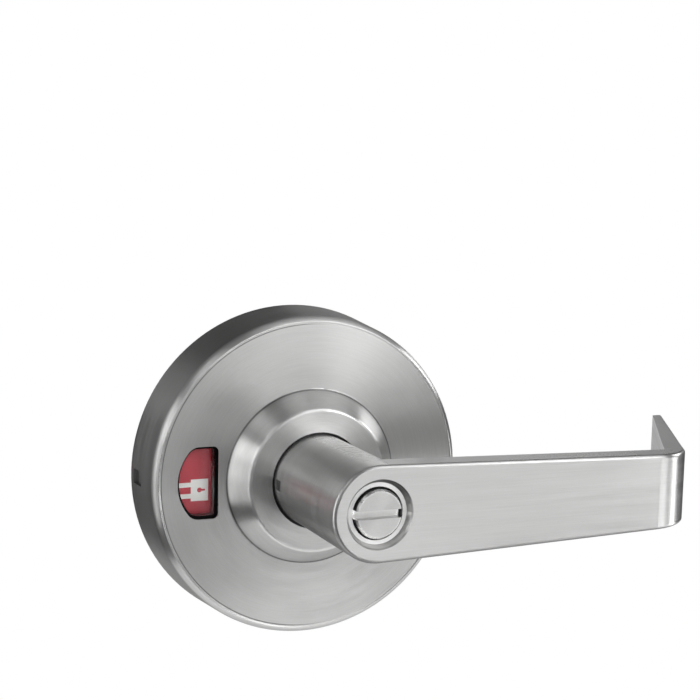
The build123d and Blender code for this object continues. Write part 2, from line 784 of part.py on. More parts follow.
# The lock cam pushes the clutch dog's pins with two high lands, half a turn apart.
pin_half_angle = degrees(asin(dog_pin_radius / dog_pin_circle)) + 0.6
high_half = lever_range / 2 + pin_half_angle
high_middle = 90 - turn_range - lever_range / 2
ramp_angle = turn_range - lever_range - 2 * pin_half_angle
ramp_half = dog_pin_circle * tan(radians(ramp_angle / 2))
cam_inner = dog_pin_circle - 1.6
cam_outer = spindle_bore - free_gap
with BuildPart() as lock_cam:
    for half_turn in (0, 180):
        sector(cam_inner, cam_outer, high_middle + half_turn, high_half, high_land, low_land)
        for way in (-1, 1):
            middle = radians(high_middle + half_turn + way * (high_half + ramp_angle / 2))
            outwards = (cos(middle), 0, sin(middle))
            along = (-way * sin(middle), 0, way * cos(middle))
            with BuildSketch(Plane(origin=(0, -low_land, 0), x_dir=along, z_dir=outwards)) as ramp:
                side = -1 if ramp.workplanes[0].y_dir.Y > 0 else 1
                with BuildLine():
                    Polyline(
                        (-ramp_half - 0.5, -side * clutch_stroke), (-ramp_half, -side * clutch_stroke),
                        (ramp_half, 0), (ramp_half, side), (-ramp_half - 0.5, side), close=True,
                    )
                make_face()
            extrude(ramp.sketch.moved(Location(Vector(*outwards) * cam_inner)), amount=spindle_bore - cam_inner)
    tube(2 * spindle_bore, cam_outer, high_land - 1, low_land + cam_base, Mode.SUBTRACT)
    tube(cam_outer, 0, low_land, low_land + cam_base)
    flatted(
        bar_radius + sliding_gap, bar_half_flat + sliding_gap, high_land - 1, low_land + cam_base + 1, Mode.SUBTRACT,
    )
lock_cam.part.label = "lock_cam"

# The dog slides in the spindle's slots. Its wings enter the drive when the lock is open.
wing_reach = spindle_half_flat - running_gap
with BuildPart() as clutch_dog:
    tube(spindle_bore - running_gap, 0, dog_back, dog_front)
    block(-dog_half_width, dog_half_width, dog_back, dog_front, -wing_reach, wing_reach)
    for x, z in ((0, dog_pin_circle), (0, -dog_pin_circle)):
        rod(dog_pin_radius, x, z, dog_front, dog_front + dog_pin_length)
    tube(bar_radius + free_gap, 0, dog_back - 1, dog_front + 1, Mode.SUBTRACT)
clutch_dog.part.label = "clutch_dog"

nose_front = drive_front - clutch_bite - 0.9
small_rise = dog_back - nose_front - 2 * small_wire - 2 * sliding_gap
with BuildPart() as clutch_spring:
    with BuildLine() as small_path:
        Helix(
            small_rise / small_turns, small_rise, small_back_radius,
            (0, -nose_front - small_wire - sliding_gap, 0), (0, -1, 0),
            cone_angle=-degrees(atan((small_back_radius - small_front_radius) / small_rise)),
        )
    with BuildSketch(Plane(origin=small_path.line @ 0, z_dir=small_path.line % 0)):
        Circle(small_wire)
    sweep(is_frenet=True)
clutch_spring.part.label = "clutch_spring"

# The drive: a cam with two lobes that push the retractor, pressed on the inside spindle.
lobe_middle = (drive_front + drive_back) / 2
with BuildPart() as retractor_cam:
    tube(drive_hub_radius, 0, drive_back, drive_front)
    for angle in (lobe_rest_angle, -lobe_rest_angle):
        block(
            drive_hub_radius - 1, lobe_circle, lobe_middle - lobe_thickness / 2, lobe_middle + lobe_thickness / 2,
            -lobe_neck, lobe_neck, angle,
        )
        x, z = around(lobe_circle, angle)
        rod(lobe_radius, x, z, lobe_middle - lobe_thickness / 2, lobe_middle + lobe_thickness / 2)
    block(
        -dog_half_width - running_gap, dog_half_width + running_gap, nose_front, drive_front + 1,
        -spindle_half_flat - running_gap, spindle_half_flat + running_gap, mode=Mode.SUBTRACT,
    )
    tube(nose_radius, 0, drive_back - 1, nose_front, Mode.SUBTRACT)
    tube(spindle_bore + running_gap, 0, nose_front, drive_front + 1, Mode.SUBTRACT)
retractor_cam.part.label = "retractor_cam"

inside_body_front = channel_back - running_gap
with BuildPart() as inside_spindle:
    tube(nose_radius, 0, inside_body_front, nose_front)
    tube(spindle_radius, 0, inside_hub_end, inside_body_front)
    flatted(spindle_radius, spindle_half_flat, inside_spindle_end, inside_hub_end)
    tube(spindle_bore, 0, inside_spindle_end - 1, inside_body_front - 3, Mode.SUBTRACT)
    tube(nose_bore, 0, inside_body_front - 4, nose_front + 1, Mode.SUBTRACT)
    tube(
        spindle_radius + 1, spindle_radius - clip_bite, inside_hub_end - running_gap - spindle_clip - sliding_gap,
        inside_hub_end - sliding_gap, Mode.SUBTRACT,
    )
inside_spindle.part.label = "inside_spindle"

with BuildPart() as inside_spindle_clip:
    tube(
        spindle_clip_radius, spindle_radius - clip_bite + sliding_gap,
        inside_hub_end - running_gap - spindle_clip, inside_hub_end - running_gap,
    )
    block(0, spindle_clip_radius + 1, inside_hub_end - 3, inside_hub_end, -3, 3, 90, Mode.SUBTRACT)
inside_spindle_clip.part.label = "inside_spindle_clip"

# The retractor is a frame with jaws for the latch, lugs for the cam and spring pockets.
retractor_outer = drive_back - free_gap
retractor_inner = channel_back + free_gap
slot_reach = nose_radius + free_gap
lug_side = -lobe_circle * sin(radians(lever_range / 2)) + lobe_radius + 0.15
coil_places = (coil_height, -coil_height)
with BuildPart() as retractor:
    block(
        -retractor_front, retractor_back, retractor_inner, retractor_outer,
        -retractor_half_height, retractor_half_height,
    )
    for side in (0, 180):
        low = lug_side if side == 0 else -lug_side - lug_thickness
        block(
            low, low + lug_thickness, retractor_outer - lug_plate, retractor_outer,
            retractor_half_height - 2, lug_top, side,
        )
        block(
            low, low + lug_thickness, retractor_outer, lobe_middle + lobe_thickness / 2,
            lug_bottom, lug_top, side,
        )
    block(
        -retractor_front + retractor_jaw, slot_reach, retractor_inner - 1, retractor_outer + 1,
        -slot_reach, slot_reach, mode=Mode.SUBTRACT,
    )
    block(
        -retractor_front - 1, 0, retractor_inner - 1, retractor_outer + 1,
        -jaw_half_slit, jaw_half_slit, mode=Mode.SUBTRACT,
    )
    for z in coil_places:
        with BuildSketch(Plane.YZ.offset(retractor_back - coil_pocket)):
            with Locations((-(retractor_inner + retractor_outer) / 2, z)):
                Circle(coil_circle + coil_wire + sliding_gap)
        extrude(amount=coil_pocket + 1, mode=Mode.SUBTRACT)
retractor.part.label = "retractor"

channel_end = retractor_back + retractor_travel + 0.6
coil_length = channel_end - retractor_back + coil_pocket - 2 * coil_wire - 2 * sliding_gap
coil_from = retractor_back - coil_pocket + coil_wire + sliding_gap
with BuildPart() as retractor_springs:
    for z in coil_places:
        coil_place = (coil_from, -(retractor_inner + retractor_outer) / 2, z)
        with BuildLine() as coil:
            Helix(coil_length / coil_turns, coil_length, coil_circle, coil_place, (1, 0, 0))
        with BuildSketch(Plane(origin=coil.line @ 0, z_dir=coil.line % 0)):
            Circle(coil_wire)
        sweep(is_frenet=True)
retractor_springs.part.label = "retractor_springs"

# The chassis frame is a drum with a channel for the retractor, open towards the latch.
channel_half = retractor_half_height + 0.2
keeper_back = retractor_front + free_gap
with BuildPart() as chassis_frame:
    tube(chassis_radius, spindle_radius + running_gap, frame_back, frame_front)
    tube(chassis_radius + 1, chassis_radius - chassis_shell_sink, channel_back, channel_front, Mode.SUBTRACT)
    block(
        -chassis_radius - 1, channel_end, channel_back, channel_front,
        -channel_half, channel_half, mode=Mode.SUBTRACT,
    )
    block(
        -lobe_circle - lobe_radius - free_gap, lug_side + lug_thickness + retractor_travel + free_gap,
        retractor_outer - lug_plate - 0.2, channel_front, -lug_top - 0.4, lug_top + 0.4, mode=Mode.SUBTRACT,
    )
    block(
        -chassis_radius - 1, -keeper_back, channel_back, channel_front,
        -keeper_half_height - sliding_gap, keeper_half_height + sliding_gap, mode=Mode.SUBTRACT,
    )
    for angle in hub_screw_angles:
        x, z = around(hub_screw_circle, angle)
        rod(hub_screw_radius + sliding_gap, x, z, frame_front - hub_screw_length - 0.1, frame_front + 1, Mode.SUBTRACT)
        rod(hub_screw_radius + sliding_gap, x, z, frame_back - 1, frame_back + hub_screw_length + 0.1, Mode.SUBTRACT)
chassis_frame.part.label = "chassis_frame"

with BuildPart() as latch_keeper:
    block(
        -keeper_back - keeper_thickness, -keeper_back, channel_back, channel_front,
        -keeper_half_height, keeper_half_height,
    )
    block(
        -keeper_back - keeper_thickness - 1, -keeper_back + 1, retractor_inner, retractor_outer,
        -keeper_half_slot, keeper_half_slot, mode=Mode.SUBTRACT,
    )
latch_keeper.part.label = "latch_keeper"


def hub(frame_side, way):
    """A hub between the frame's end face and its nose, with a flange against the frame."""
    nose_end = hub_stand if way > 0 else inside_hub_end
    back, front = sorted((frame_side, nose_end))
    tube(hub_radius, spindle_radius + running_gap, back, front)
    flange_ends = sorted((frame_side, frame_side + way * hub_flange))
    tube(hub_flange_radius, spindle_radius + running_gap, *flange_ends)
    for angle in hub_screw_angles:
        x, z = around(hub_screw_circle, angle)
        rod(hub_screw_radius + sliding_gap, x, z, flange_ends[0] - 1, flange_ends[1] + 1, Mode.SUBTRACT)


with BuildPart() as outside_hub:
    hub(frame_front, 1)
outside_hub.part.label = "outside_hub"

with BuildPart() as inside_hub:
    hub(frame_back, -1)
inside_hub.part.label = "inside_hub"

with BuildPart() as hub_screws:
    for angle in hub_screw_angles:
        x, z = around(hub_screw_circle, angle)
        for side, way in ((frame_front, 1), (frame_back, -1)):
            seat = side + way * hub_flange
            rod(hub_screw_radius, x, z, *sorted((side - way * hub_screw_length, seat)))
            rod(hub_screw_head_radius, x, z, *sorted((seat, seat + way * hub_screw_head)))
hub_screws.part.label = "hub_screws"

# The adjusting ring sets how far the chassis stands behind the plate.
with BuildPart() as adjusting_ring:
    tube(ring_radius, hub_radius + sliding_gap, -ring_length, 0)
    for angle in (0, 90, 180, 270):
        block(
            ring_radius - 2, ring_radius + 1, -ring_length - 1, 1, -ring_notch / 2, ring_notch / 2,
            angle, Mode.SUBTRACT,
        )
adjusting_ring.part.label = "adjusting_ring"

export_step(rose.part, "parts/rose.step")
export_step(window_frame.part, "parts/window_frame.step")
export_step(window_lens.part, "parts/window_lens.step")
export_step(rose_bushing.part, "parts/rose_bushing.step")
export_step(lever.part, "parts/lever.step")
export_step(turn_button.part, "parts/turn_button.step")
export_step(turn_clip.part, "parts/turn_clip.step")
export_step(turn_bar.part, "parts/turn_bar.step")
export_step(outer_spindle.part, "parts/outer_spindle.step")
export_step(spindle_clip_ring.part, "parts/spindle_clip.step")
export_step(lever_catch.part, "parts/lever_catch.step")
export_step(lever_catch_spring.part, "parts/lever_catch_spring.step")
export_step(rose_mounting_plate.part, "parts/rose_mounting_plate.step")
export_step(mounting_posts.part, "parts/mounting_posts.step")
export_step(spring_cage.part, "parts/spring_cage.step")
export_step(cage_screws.part, "parts/cage_screws.step")
export_step(cage_cover.part, "parts/cage_cover.step")
export_step(cover_screws.part, "parts/cover_screws.step")
export_step(spring_driver.part, "parts/spring_driver.step")
export_step(return_spring, "parts/return_spring.step")
export_step(indicator_wheel.part, "parts/indicator_wheel.step")
export_step(red_label.part, "parts/red_label.step")
export_step(green_label.part, "parts/green_label.step")
export_step(locked_symbol.part, "parts/locked_symbol.step")
export_step(unlocked_symbol, "parts/unlocked_symbol.step")
export_step(indicator_driver.part, "parts/indicator_driver.step")
export_step(lock_cam.part, "parts/lock_cam.step")
export_step(clutch_dog.part, "parts/clutch_dog.step")
export_step(clutch_spring.part, "parts/clutch_spring.step")
export_step(retractor_cam.part, "parts/retractor_cam.step")
export_step(inside_spindle.part, "parts/inside_spindle.step")
export_step(inside_spindle_clip.part, "parts/inside_spindle_clip.step")
export_step(retractor.part, "parts/retractor.step")
export_step(retractor_springs.part, "parts/retractor_springs.step")
export_step(chassis_frame.part, "parts/chassis_frame.step")
export_step(latch_keeper.part, "parts/latch_keeper.step")
export_step(outside_hub.part, "parts/outside_hub.step")
export_step(inside_hub.part, "parts/inside_hub.step")
export_step(hub_screws.part, "parts/hub_screws.step")
export_step(adjusting_ring.part, "parts/adjusting_ring.step")
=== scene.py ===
import math

import bmesh
import bpy
from mathutils import Matrix, Vector


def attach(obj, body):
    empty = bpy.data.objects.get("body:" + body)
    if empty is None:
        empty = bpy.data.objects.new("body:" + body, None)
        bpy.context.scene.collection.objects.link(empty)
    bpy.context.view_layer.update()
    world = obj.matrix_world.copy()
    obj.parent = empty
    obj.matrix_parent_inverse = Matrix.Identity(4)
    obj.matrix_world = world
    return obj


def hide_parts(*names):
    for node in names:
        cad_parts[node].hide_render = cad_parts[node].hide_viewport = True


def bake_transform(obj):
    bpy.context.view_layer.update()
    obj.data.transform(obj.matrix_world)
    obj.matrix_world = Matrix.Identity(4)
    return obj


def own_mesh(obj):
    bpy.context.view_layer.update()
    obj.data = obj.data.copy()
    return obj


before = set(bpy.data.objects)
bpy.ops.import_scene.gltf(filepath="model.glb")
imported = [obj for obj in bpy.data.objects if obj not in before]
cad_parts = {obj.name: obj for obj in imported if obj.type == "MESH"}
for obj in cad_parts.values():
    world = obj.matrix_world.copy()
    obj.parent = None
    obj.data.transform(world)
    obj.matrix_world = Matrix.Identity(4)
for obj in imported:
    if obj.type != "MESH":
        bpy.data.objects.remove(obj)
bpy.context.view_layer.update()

scene = bpy.context.scene
scene.view_settings.view_transform = "Standard"

# The photograph's camera: a short telephoto a little to the left of the lever and above it.
# Its frame sits left of and above the lens axis, as in a cropped catalogue picture.
camera_place = Vector((-0.16566, -0.44194, 0.09723))
rightwards = Vector((0.9044, -0.4257, 0.0285)).normalized()
ahead = Vector((0.4250, 0.8931, -0.1474)).normalized()
upwards = rightwards.cross(ahead).normalized()
focal_length, film_width = 83.33, 36.0
frame_shift = (-0.1099, 0.0386)
nearest_seen, farthest_seen = 0.01, 20.0

camera_data = bpy.data.cameras.new("photo_camera")
camera_data.sensor_width = film_width
camera_data.lens = focal_length
camera_data.shift_x, camera_data.shift_y = frame_shift
camera_data.clip_start, camera_data.clip_end = nearest_seen, farthest_seen
photo_camera = bpy.data.objects.new("photo_camera", camera_data)
scene.collection.objects.link(photo_camera)
photo_camera.matrix_world = Matrix((
    (rightwards.x, upwards.x, -ahead.x, camera_place.x),
    (rightwards.y, upwards.y, -ahead.y, camera_place.y),
    (rightwards.z, upwards.z, -ahead.z, camera_place.z),
    (0, 0, 0, 1)))
scene.camera = photo_camera

# The studio: a floor under the lock and a paper backdrop behind it, both white to the camera
# and to the metal, in a room that is white to the camera and lights the lock only faintly.
paper_colour, paper_roughness = (0.93, 0.93, 0.93, 1), 0.9
white_light, faint_light = 1.0, 0.12
floor_left, floor_right, floor_front, floor_back = -0.35, 1.1, -0.35, 1.2
floor_level, backdrop_left, backdrop_top = -0.4, 0.05, 0.30


def either_ray(nodes, links, first, second):
    """1 for a ray of one kind or the other, else 0."""
    larger = nodes.new("ShaderNodeMath")
    larger.operation = "MAXIMUM"
    links.new(first, larger.inputs[0])
    links.new(second, larger.inputs[1])
    return larger.outputs[0]


def pale_paper(name):
    """Matt paper that the camera sees as pure white, also in metal and through glass."""
    paper = bpy.data.materials.new(name)
    paper.use_nodes = True
    nodes, links = paper.node_tree.nodes, paper.node_tree.links
    shader = nodes["Principled BSDF"]
    shader.inputs["Base Color"].default_value = paper_colour
    shader.inputs["Roughness"].default_value = paper_roughness
    shine = nodes.new("ShaderNodeEmission")
    shine.inputs["Strength"].default_value = white_light
    path = nodes.new("ShaderNodeLightPath").outputs
    mirrored = either_ray(nodes, links, path["Is Glossy Ray"], path["Is Transmission Ray"])
    blend = nodes.new("ShaderNodeMixShader")
    links.new(either_ray(nodes, links, path["Is Camera Ray"], mirrored), blend.inputs["Fac"])
    links.new(shader.outputs[0], blend.inputs[1])
    links.new(shine.outputs[0], blend.inputs[2])
    links.new(blend.outputs[0], nodes["Material Output"].inputs["Surface"])
    return paper


def sheet(name, corners, material):
    """A flat sheet of the studio, from its four corners."""
    mesh = bpy.data.meshes.new(name)
    mesh.from_pydata(corners, [], [(0, 1, 2, 3)])
    mesh.materials.append(material)
    obj = bpy.data.objects.new(name, mesh)
    scene.collection.objects.link(obj)


paper = pale_paper("studio_paper")
sheet("studio_floor", [
    (floor_left, floor_front, floor_level), (floor_right, floor_front, floor_level),
    (floor_right, floor_back, floor_level), (floor_left, floor_back, floor_level)], paper)
sheet("studio_backdrop", [
    (backdrop_left, floor_back, floor_level), (floor_right, floor_back, floor_level),
    (floor_right, floor_back, backdrop_top), (backdrop_left, floor_back, backdrop_top)], paper)

room = bpy.data.worlds.new("dim_room")
room.use_nodes = True
room_nodes, room_links = room.node_tree.nodes, room.node_tree.links
room_path = room_nodes.new("ShaderNodeLightPath").outputs
room_seen = either_ray(
    room_nodes, room_links, room_path["Is Camera Ray"], room_path["Is Transmission Ray"])
room_level = room_nodes.new("ShaderNodeMapRange")
room_links.new(room_seen, room_level.inputs["Value"])
room_level.inputs["To Min"].default_value = faint_light
room_level.inputs["To Max"].default_value = white_light
room_nodes["Background"].inputs["Color"].default_value = (1, 1, 1, 1)
room_links.new(room_level.outputs["Result"], room_nodes["Background"].inputs["Strength"])
scene.world = room

# The lamps: soft panels on a dome round the lock. Most stand to its right and left, so that
# the rose's face keeps dark fans between bright ones, and two light the back.
panel_target = Vector((0.02, -0.03, 0.0))
panel_height = 0.34
narrow, broad = 0.22, 0.36


def soft_panel(name, turn, rise, width, power):
    """A soft panel one metre from the lock, turned round it from the front and raised."""
    data = bpy.data.lights.new(name, "AREA")
    data.shape = "RECTANGLE"
    data.size = width
    data.size_y = panel_height
    data.energy = power
    obj = bpy.data.objects.new(name, data)
    scene.collection.objects.link(obj)
    side, lift = math.radians(turn), math.radians(rise)
    out = Vector((
        math.sin(side) * math.cos(lift), -math.cos(side) * math.cos(lift), math.sin(lift)))
    obj.location = panel_target + out
    obj.rotation_euler = out.to_track_quat("Z", "Y").to_euler()


for number, (turn, rise, width, power) in enumerate([
        (-4, 20, narrow, 0.08), (10, 20, narrow, 0.40), (22, 20, narrow, 0.31),
        (34, 20, narrow, 1.03), (48, 20, narrow, 0.24), (10, 0, narrow, 0.21),
        (34, 0, narrow, 0.32), (22, -20, narrow, 0.42), (48, -20, narrow, 0.76),
        (62, -20, narrow, 0.25), (76, -20, narrow, 1.50), (90, 20, broad, 1.60),
        (-30, 20, broad, 0.30), (-60, 20, broad, 0.32), (-85, 20, broad, 1.05),
        (-60, 0, broad, 0.14), (-85, 0, broad, 0.80), (-85, -20, broad, 0.65),
        (-60, 48, broad, 0.46), (-20, 48, broad, 0.05), (22, 48, broad, 0.55),
        (48, 48, broad, 0.42), (76, 48, broad, 0.12), (0, 80, broad, 0.22),
        (150, 30, broad, 0.30), (-150, 20, broad, 0.30)]):
    soft_panel("soft_panel_%d" % number, turn, rise, width, power)

# The rose is pressed from sheet and satin finished: its face is turned, so fine rings run
# round it, and its skirt is brushed round as well. It snaps over a plate on the door.
satin_nickel = (0.60, 0.60, 0.595)
dark_noise, light_noise = 0.3, 0.7


def feed(tree, value, socket):
    """Give an input a link, where the value is a node's output, or else a plain number."""
    if isinstance(value, bpy.types.NodeSocket):
        tree.links.new(value, socket)
    else:
        socket.default_value = value


def calc(tree, operation, *values):
    step = tree.nodes.new("ShaderNodeMath")
    step.operation = operation
    for socket, value in zip(step.inputs, values):
        feed(tree, value, socket)
    return step.outputs[0]


def plus(tree, first, second):
    return calc(tree, "ADD", first, second)


def minus(tree, first, second):
    return calc(tree, "SUBTRACT", first, second)


def times(tree, first, second):
    return calc(tree, "MULTIPLY", first, second)


def calc_vector(tree, operation, *values):
    step = tree.nodes.new("ShaderNodeVectorMath")
    step.operation = operation
    for socket, value in zip(step.inputs, values):
        feed(tree, value, socket)
    return step.outputs[0]


def split(tree, vector):
    """The x, y and z of a vector."""
    cut = tree.nodes.new("ShaderNodeSeparateXYZ")
    tree.links.new(vector, cut.inputs[0])
    return tuple(cut.outputs)


def gather(tree, x, y, z):
    """A vector or colour from three values."""
    joined = tree.nodes.new("ShaderNodeCombineXYZ")
    for socket, value in zip(joined.inputs, (x, y, z)):
        feed(tree, value, socket)
    return joined.outputs[0]


def spread(tree, value, low, high, to_low=0.0, to_high=1.0, smooth=True):
    """A value between two limits, carried over to two others."""
    change = tree.nodes.new("ShaderNodeMapRange")
    change.interpolation_type = "SMOOTHSTEP" if smooth else "LINEAR"
    for socket, setting in zip(change.inputs, (value, low, high, to_low, to_high)):
        feed(tree, setting, socket)
    return change.outputs[0]


def noise(tree, vector, scale, detail=2.0, rough=0.5):
    cloud = tree.nodes.new("ShaderNodeTexNoise")
    feed(tree, vector, cloud.inputs["Vector"])
    feed(tree, scale, cloud.inputs["Scale"])
    cloud.inputs["Detail"].default_value = detail
    cloud.inputs["Roughness"].default_value = rough
    return cloud.outputs["Fac"]


def add_relief(tree, shader, height, strength, distance):
    """Bump on a finish, from a height that changes over it and a distance in metres."""
    relief = tree.nodes.new("ShaderNodeBump")
    relief.inputs["Strength"].default_value = strength
    relief.inputs["Distance"].default_value = distance
    tree.links.new(height, relief.inputs["Height"])
    tree.links.new(relief.outputs[0], shader.inputs["Normal"])


def new_group(name, inputs, outputs):
    """A shader node group, with what it is given and what it has made as sockets."""
    group = bpy.data.node_groups.new(name, "ShaderNodeTree")
    for label, kind, value in inputs:
        socket = group.interface.new_socket(label, in_out="INPUT", socket_type=kind)
        if value is not None:
            socket.default_value = value
    for label, kind in outputs:
        group.interface.new_socket(label, in_out="OUTPUT", socket_type=kind)
    given = group.nodes.new("NodeGroupInput").outputs
    made = group.nodes.new("NodeGroupOutput").inputs
    return group, given, made


def use_group(tree, group, **values):
    """A group placed in a finish, with its inputs named with _ for a blank."""
    placed = tree.nodes.new("ShaderNodeGroup")
    placed.node_tree = group
    for label, value in values.items():
        feed(tree, value, placed.inputs[label.replace("_", " ")])
    return placed.outputs


# satin_grain: fine hair lines with a few longer streaks. Grain Path is in metres, its x
# across the lines and its y and z along them.
hair_share, streak_share = 0.65, 0.35
streak_scale = (0.16, 0.45, 0.45)
dark_line, light_line = 0.93, 1.07
glossy_streak, dull_streak = -0.04, 0.05
satin_grain, given, made = new_group(
    "satin_grain",
    [("Grain Path", "NodeSocketVector", None), ("Line Width", "NodeSocketFloat", 0.0003),
     ("Line Length", "NodeSocketFloat", 0.02)],
    [("Height", "NodeSocketFloat"), ("Tone", "NodeSocketFloat"), ("Gloss", "NodeSocketFloat")])
across, along, beside = split(satin_grain, given["Grain Path"])
hair_path = gather(
    satin_grain, calc(satin_grain, "DIVIDE", across, given["Line Width"]),
    calc(satin_grain, "DIVIDE", along, given["Line Length"]),
    calc(satin_grain, "DIVIDE", beside, given["Line Length"]))
streak_path = calc_vector(satin_grain, "MULTIPLY", hair_path, streak_scale)
hair = noise(satin_grain, hair_path, scale=1.0, detail=4.0, rough=0.7)
streak = noise(satin_grain, streak_path, scale=1.0, detail=2.0, rough=0.6)
lines = plus(
    satin_grain, times(satin_grain, hair, hair_share), times(satin_grain, streak, streak_share))
satin_grain.links.new(lines, made["Height"])
line_tone = spread(
    satin_grain, lines, dark_noise, light_noise, dark_line, light_line, smooth=False)
streak_gloss = spread(
    satin_grain, streak, dark_noise, light_noise, glossy_streak, dull_streak, smooth=False)
satin_grain.links.new(line_tone, made["Tone"])
satin_grain.links.new(streak_gloss, made["Gloss"])

# Edge brightening: brighter, smoother metal along an edge, partly wear where hands and the buff
# reach it and partly a painted highlight. Distance is how far a point lies from the edge, in
# metres.
least_reach, ragged_reach = 0.55, 0.9
fully_worn, not_worn = 0.2, 1.0
worn_edge_highlight, given, made = new_group(
    "worn_edge_highlight",
    [("Distance", "NodeSocketFloat", 0.0), ("Reach", "NodeSocketFloat", 0.0008),
     ("Place", "NodeSocketVector", None)],
    [("Wear", "NodeSocketFloat")])
flecks = noise(worn_edge_highlight, given["Place"], scale=420.0, detail=3.0, rough=0.6)
ragged = plus(worn_edge_highlight, times(worn_edge_highlight, flecks, ragged_reach), least_reach)
nearness = calc(
    worn_edge_highlight, "DIVIDE", calc(worn_edge_highlight, "ABSOLUTE", given["Distance"]),
    times(worn_edge_highlight, given["Reach"], ragged))
worn_edge_highlight.links.new(
    spread(worn_edge_highlight, nearness, fully_worn, not_worn, 1.0, 0.0), made["Wear"])

# touch_marks: broad, faint patches where the metal was handled.
mark_starts, mark_full = 0.42, 0.68
touch_marks, given, made = new_group(
    "touch_marks", [("Place", "NodeSocketVector", None)], [("Smudge", "NodeSocketFloat")])
patch = noise(touch_marks, given["Place"], scale=38.0, detail=3.0, rough=0.55)
touch_marks.links.new(spread(touch_marks, patch, mark_starts, mark_full), made["Smudge"])

# Painted shade in creases and corners: where it is full, where it is gone, and how dark it gets.
crease_shade_full, crease_shade_gone, crease_shade_tone = 0.00008, 0.00035, 0.35
edge_highlight_gain, edge_polish, smudge_roughness = 0.18, 0.06, 0.03
line_relief, line_depth = 0.35, 0.00004
quarter_turn = 0.25


def new_finish(name):
    """A material with its node tree and its shader."""
    finish = bpy.data.materials.new(name)
    finish.use_nodes = True
    return finish, finish.node_tree, finish.node_tree.nodes["Principled BSDF"]


def satin_metal(name, tint, roughness, anisotropy, line_width, line_length, edge_of, light_and_shade_of,
                path_of, tangent_of, crease_shade_of=None):
    """Satin nickel. Small functions give its worn and highlighted edges, its painted light and
    shade, grain, tangent and the painted shade in its creases.
    """
    finish, tree, shader = new_finish(name)
    place = tree.nodes.new("ShaderNodeTexCoord").outputs["Object"]
    grain = use_group(
        tree, satin_grain, Grain_Path=path_of(tree, place), Line_Width=line_width,
        Line_Length=line_length)
    smudge = use_group(tree, touch_marks, Place=place)["Smudge"]
    wear = use_group(tree, worn_edge_highlight, Distance=edge_of(tree, place), Place=place)["Wear"]
    # Partly wear, partly painted highlight: the tone is raised along the edges.
    tone = plus(tree, grain["Tone"], times(tree, wear, edge_highlight_gain))
    # Painted shade: the base colour is darkened near the creases that the part's own function
    # gives.
    if crease_shade_of:
        crease_shade = spread(tree, crease_shade_of(tree, place), crease_shade_full, crease_shade_gone, to_low=crease_shade_tone)
        tone = times(tree, tone, crease_shade)
    # Painted light and shade from the part's own function scale the tone.
    tone = times(tree, tone, light_and_shade_of(tree, place))
    shade = gather(tree, *(times(tree, tone, channel) for channel in satin_nickel))
    tree.links.new(shade, shader.inputs["Base Color"])
    shader.inputs["Metallic"].default_value = 1.0
    shader.inputs["Specular Tint"].default_value = (tint, tint, tint, 1.0)
    rough = plus(
        tree, plus(tree, grain["Gloss"], roughness), times(tree, smudge, smudge_roughness))
    rough = minus(tree, rough, times(tree, wear, edge_polish))
    tree.links.new(rough, shader.inputs["Roughness"])
    shader.inputs["Anisotropic"].default_value = anisotropy
    shader.inputs["Anisotropic Rotation"].default_value = quarter_turn
    tree.links.new(tangent_of(tree, place), shader.inputs["Tangent"])
    add_relief(tree, shader, grain["Height"], strength=line_relief, distance=line_depth)
    return finish


def axis_radius(tree, place):
    """How far a point lies from the lever's axis."""
    x, _, z = split(tree, place)
    return calc(tree, "SQRT", plus(tree, times(tree, x, x), times(tree, z, z)))


def nearest(tree, value, *marks):
    """How far a value lies from the nearest of several marks."""
    gaps = [calc(tree, "ABSOLUTE", minus(tree, value, mark)) for mark in marks]
    least = gaps[0]
    for gap in gaps[1:]:
        least = calc(tree, "MINIMUM", least, gap)
    return least


def round_the_axis(tree, place):
    """The unit direction round the lever's axis."""
    x, _, z = split(tree, place)
    return calc_vector(tree, "NORMALIZE", gather(tree, times(tree, z, -1.0), 0.0, x))


def out_from_the_axis(tree, place):
    """The x and z of the unit direction away from the lever's axis."""
    x, _, z = split(tree, place)
    unit = split(tree, calc_vector(tree, "NORMALIZE", gather(tree, x, 0.0, z)))
    return unit[0], unit[2]


ring_radius = 0.04


def ring_path(tree, place):
    """Grain that runs round the axis: across it lies the radius plus the depth."""
    aside, upright = out_from_the_axis(tree, place)
    across = minus(tree, axis_radius(tree, place), split(tree, place)[1])
    return gather(
        tree, across, times(tree, aside, ring_radius), times(tree, upright, ring_radius))


rim_crown_radius, boss_shoulder_radius = 0.0444, 0.0203
rim_crease_radius, boss_crease_radius = 0.0438, 0.0251
# Painted shade at the rim: where it fades out across the rose, and how far its distance is pushed
# off on each side.
crease_from, crease_to = -0.010, 0.025
left_shade_offset, right_shade_offset = 0.00006, 0.0005
# Painted shade on the skirt: where the face ends and the skirt begins, and their tones.
face_starts, skirt_ends, face_tone, skirt_shade_tone = -0.0176, -0.0160, 1.07, 0.62
# The boss is painted lighter between these depths.
boss_starts, boss_ends, boss_gain = -0.0200, -0.0190, 0.12


def rose_edges(tree, place):
    """How far a point lies from the rim's crown or the boss's shoulder."""
    return nearest(tree, axis_radius(tree, place), rim_crown_radius, boss_shoulder_radius)


def rose_crease_shade(tree, place):
    """How far a point lies from the crease round the boss or the one inside the rim, where shade
    is painted; at the rim the painted shade lies on the window's side only."""
    radius = axis_radius(tree, place)
    shade_offset = spread(
        tree, split(tree, place)[0], crease_from, crease_to, left_shade_offset, right_shade_offset)
    at_the_rim = plus(tree, nearest(tree, radius, rim_crease_radius), shade_offset)
    return calc(tree, "MINIMUM", nearest(tree, radius, boss_crease_radius), at_the_rim)


